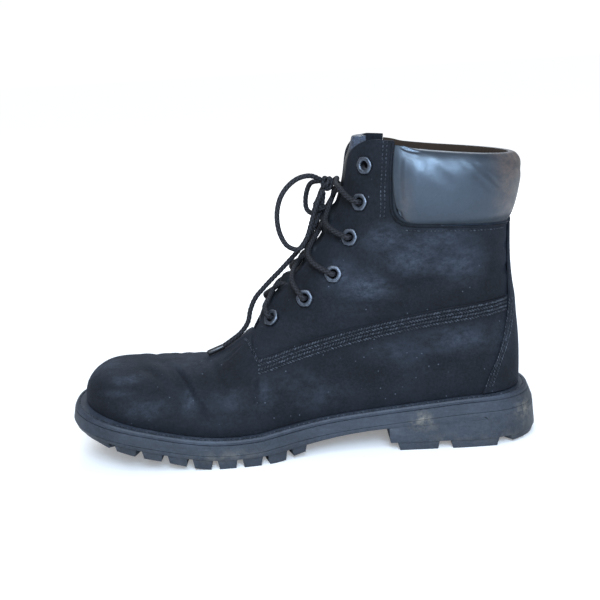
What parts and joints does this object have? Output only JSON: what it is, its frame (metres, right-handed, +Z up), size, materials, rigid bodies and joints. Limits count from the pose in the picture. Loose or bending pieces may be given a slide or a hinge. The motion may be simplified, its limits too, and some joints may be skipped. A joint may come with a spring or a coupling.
{
  "type": "work boot",
  "caption": "Right-foot black nubuck work boot, about 187 mm high, with a padded collar, hex eyelets, round laces tied in a bow and a lugged rubber sole.",
  "frame": {"origin": "centre of the boot's bounding box, on the floor under the sole", "axes": "+X from the toe towards the heel, +Y towards the outer (lateral) side, +Z up"},
  "size_m": [0.2841, 0.1034, 0.1862],
  "materials": {
    "nubuck": "matte nubuck",
    "collar_leather": "smooth semi-gloss",
    "tongue_leather": "smooth semi-gloss",
    "sole_rubber": "matte, dusty",
    "welt_rubber": "satin",
    "lining_fabric": "woven lining",
    "gunmetal": "gunmetal, worn bright at the rims",
    "lace_cord": "round braid"
  },
  "bodies": {
    "root": {"outsole": "sole_rubber", "midsole": "sole_rubber", "welt": "welt_rubber", "insole": "lining_fabric", "upper": "nubuck", "tongue": "tongue_leather", "collar": "collar_leather", "heel_counter": "nubuck", "eyelet_medial_1": "gunmetal", "eyelet_medial_2": "gunmetal", "eyelet_medial_3": "gunmetal", "eyelet_medial_4": "gunmetal", "eyelet_medial_5": "gunmetal", "eyelet_medial_6": "gunmetal", "eyelet_lateral_1": "gunmetal", "eyelet_lateral_2": "gunmetal", "eyelet_lateral_3": "gunmetal", "eyelet_lateral_4": "gunmetal", "eyelet_lateral_5": "gunmetal", "eyelet_lateral_6": "gunmetal", "lace_crossing_1": "lace_cord", "lace_crossing_2": "lace_cord", "lace_crossing_3": "lace_cord", "lace_crossing_4": "lace_cord", "lace_bar": "lace_cord", "lace_knot": "lace_cord", "lace_loop_long": "lace_cord", "lace_loop_short": "lace_cord", "lace_end_long": "lace_cord", "lace_end_short": "lace_cord"}
  },
  "joints": []
}
